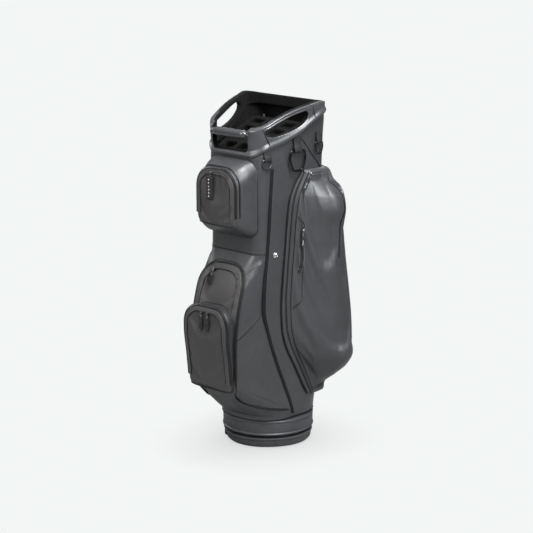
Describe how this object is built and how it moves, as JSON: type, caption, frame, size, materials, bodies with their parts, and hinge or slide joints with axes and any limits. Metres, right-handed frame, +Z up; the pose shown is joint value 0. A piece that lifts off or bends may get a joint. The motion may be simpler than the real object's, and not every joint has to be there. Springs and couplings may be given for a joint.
{
  "type": "golf cart bag",
  "caption": "Upright golf club bag with tilted grip collar, club divider, opening zipped front and side pockets, hanging rings and a swinging shoulder strap.",
  "frame": {"origin": "centre of the foot's underside, on the ground", "axes": "+Z up; the pocket front faces -Y and the spine +Y; the wearer's apparel pockets are at +X and -X"},
  "size_m": [0.4246, 0.4558, 0.9223],
  "materials": {
    "leatherette": "fine-grained charcoal synthetic leather, semi-matt",
    "pocket_face": "fine-grained charcoal synthetic leather, matt, slightly warm",
    "moulded_foot": "black moulded plastic, satin",
    "gasket": "black rubber, matt",
    "cuff_grip": "padded black collar, satin with soft highlights",
    "fleece": "black brushed fleece",
    "lining": "black woven lining",
    "webbing": "black woven webbing",
    "zip_tape": "black coil zip",
    "black_ring": "black moulded ring",
    "gunmetal": "dark gunmetal",
    "bright_metal": "polished",
    "stay_rod": "glass-fibre rod",
    "board": "stiff base board"
  },
  "bodies": {
    "bag": {"base_boot": "moulded_foot", "base_gasket": "gasket", "base_collar": "moulded_foot", "base_board": "board", "body_shell": "leatherette", "divider_sleeves": "lining", "divider_grid": "fleece", "top_cuff": "cuff_grip", "front_handle": "cuff_grip", "stay_front_left": "stay_rod", "stay_front_right": "stay_rod", "stay_rear_left": "stay_rod", "stay_rear_right": "stay_rod", "spine_panel": "leatherette", "strap_tab_top": "webbing", "strap_tab_bottom": "webbing", "upper_pocket_shell": "leatherette", "upper_zip_track": "zip_tape", "lower_pocket_shell": "leatherette", "lower_zip_track": "zip_tape", "right_apparel_shell": "leatherette", "right_zip_track": "zip_tape", "right_piping": "zip_tape", "left_apparel_shell": "leatherette", "left_zip_track": "zip_tape", "left_piping": "zip_tape", "towel_ring_tab": "webbing", "d_ring_tab": "webbing", "rear_ring_tab": "webbing", "snap_stud": "bright_metal", "side_web_tab": "webbing"},
    "upper_door": {"upper_door_panel": "pocket_face"},
    "upper_slider": {"upper_zip_slider": "gunmetal"},
    "upper_pull": {"upper_zip_pull": "webbing"},
    "lower_door": {"lower_door_panel": "pocket_face", "outer_pocket_shell": "leatherette", "outer_zip_track": "zip_tape"},
    "lower_slider": {"lower_zip_slider": "gunmetal"},
    "lower_pull": {"lower_zip_pull": "gunmetal"},
    "outer_door": {"outer_door_panel": "pocket_face"},
    "outer_slider_left": {"outer_zip_slider_left": "gunmetal"},
    "outer_pull_left": {"outer_zip_pull_left": "webbing"},
    "outer_slider_right": {"outer_zip_slider_right": "gunmetal"},
    "outer_pull_right": {"outer_zip_pull_right": "webbing"},
    "right_panel": {"right_apparel_panel": "leatherette", "valuables_zip_track": "zip_tape"},
    "right_slider": {"right_zip_slider": "gunmetal"},
    "right_pull": {"right_zip_pull": "gunmetal"},
    "valuables_slider": {"valuables_zip_slider": "gunmetal"},
    "valuables_pull": {"valuables_zip_pull": "gunmetal"},
    "left_panel": {"left_apparel_panel": "leatherette"},
    "left_slider": {"left_zip_slider": "gunmetal"},
    "left_pull": {"left_zip_pull": "gunmetal"},
    "towel_ring": {"towel_ring": "black_ring"},
    "d_ring": {"d_ring": "black_ring"},
    "rear_d_ring": {"rear_d_ring": "black_ring"},
    "strap": {"shoulder_strap": "webbing", "strap_pad": "leatherette", "strap_ring_top": "gunmetal", "strap_ring_bottom": "gunmetal"}
  },
  "joints": [
    {"name": "upper_door_open", "type": "hinge", "parent": "bag", "child": "upper_door", "pos_m": [0, -0.193, 0.615], "axis": [1, 0, 0], "range_deg": [0, 75]},
    {"name": "upper_slider_run", "type": "slide", "parent": "upper_door", "child": "upper_slider", "axis": [1, 0, 0], "range_m": [-0.012, 0.04]},
    {"name": "upper_pull_swing", "type": "hinge", "parent": "upper_slider", "child": "upper_pull", "pos_m": [-0.014, -0.2032, 0.744], "axis": [-1, 0, 0], "range_deg": [0, 95]},
    {"name": "lower_door_open", "type": "hinge", "parent": "bag", "child": "lower_door", "pos_m": [0, -0.2075, 0.178], "axis": [1, 0, 0], "range_deg": [0, 70]},
    {"name": "lower_slider_run", "type": "slide", "parent": "lower_door", "child": "lower_slider", "axis": [1, 0, 0], "range_m": [0, 0.056]},
    {"name": "lower_pull_swing", "type": "hinge", "parent": "lower_slider", "child": "lower_pull", "pos_m": [-0.036, -0.1814, 0.483], "axis": [-1, 0, 0], "range_deg": [0, 80]},
    {"name": "outer_door_open", "type": "hinge", "parent": "lower_door", "child": "outer_door", "pos_m": [0, -0.2185, 0.184], "axis": [1, 0, 0], "range_deg": [0, 70]},
    {"name": "outer_slider_left_run", "type": "slide", "parent": "outer_door", "child": "outer_slider_left", "axis": [-1, 0, 0], "range_m": [0, 0.02]},
    {"name": "outer_pull_left_swing", "type": "hinge", "parent": "outer_slider_left", "child": "outer_pull_left", "pos_m": [-0.0105, -0.24506, 0.382], "axis": [-1, 0, 0], "range_deg": [0, 90]},
    {"name": "outer_slider_right_run", "type": "slide", "parent": "outer_door", "child": "outer_slider_right", "axis": [1, 0, 0], "range_m": [0, 0.02]},
    {"name": "outer_pull_right_swing", "type": "hinge", "parent": "outer_slider_right", "child": "outer_pull_right", "pos_m": [0.0115, -0.24506, 0.382], "axis": [-1, 0, 0], "range_deg": [0, 90]},
    {"name": "right_panel_open", "type": "hinge", "parent": "bag", "child": "right_panel", "pos_m": [0.15, 0.1245, 0.44], "axis": [0, 0, 1], "range_deg": [0, 45]},
    {"name": "right_slider_run", "type": "slide", "parent": "right_panel", "child": "right_slider", "axis": [-0.0166, -0.4151, -0.9096], "range_m": [0, 0.015]},
    {"name": "right_pull_swing", "type": "hinge", "parent": "right_slider", "child": "right_pull", "pos_m": [0.13262, 0.01807, 0.73], "axis": [-0.379, -0.7922, 0.4784], "range_deg": [0, 80]},
    {"name": "left_panel_open", "type": "hinge", "parent": "bag", "child": "left_panel", "pos_m": [-0.15, 0.1245, 0.44], "axis": [0, 0, -1], "range_deg": [0, 45]},
    {"name": "left_slider_run", "type": "slide", "parent": "left_panel", "child": "left_slider", "axis": [0.0166, -0.4151, -0.9096], "range_m": [0, 0.015]},
    {"name": "left_pull_swing", "type": "hinge", "parent": "left_slider", "child": "left_pull", "pos_m": [-0.13262, 0.01807, 0.73], "axis": [-0.379, 0.7922, -0.4784], "range_deg": [0, 80]},
    {"name": "valuables_slider_run", "type": "slide", "parent": "right_panel", "child": "valuables_slider", "axis": [-0.0012, -0.0676, -0.9977], "range_m": [0, 0.07]},
    {"name": "valuables_pull_swing", "type": "hinge", "parent": "valuables_slider", "child": "valuables_pull", "pos_m": [0.13987, -0.01455, 0.583], "axis": [-0.6758, -0.7354, 0.0507], "range_deg": [0, 80]},
    {"name": "towel_ring_swing", "type": "hinge", "parent": "bag", "child": "towel_ring", "pos_m": [0.11882, -0.01501, 0.799], "axis": [-0.1456, -0.9893, 0], "range_deg": [0, 75]},
    {"name": "d_ring_swing", "type": "hinge", "parent": "bag", "child": "d_ring", "pos_m": [0.09991, -0.10907, 0.784], "axis": [-0.238, -0.9713, 0], "range_deg": [0, 75]},
    {"name": "rear_d_ring_swing", "type": "hinge", "parent": "bag", "child": "rear_d_ring", "pos_m": [0.12836, 0.05776, 0.814], "axis": [-0.038, -0.9993, 0], "range_deg": [0, 75]},
    {"name": "strap_swing", "type": "hinge", "parent": "bag", "child": "strap", "pos_m": [0, 0.136, 0.51], "axis": [0, 0, 1], "range_deg": [-45, 45]}
  ]
}
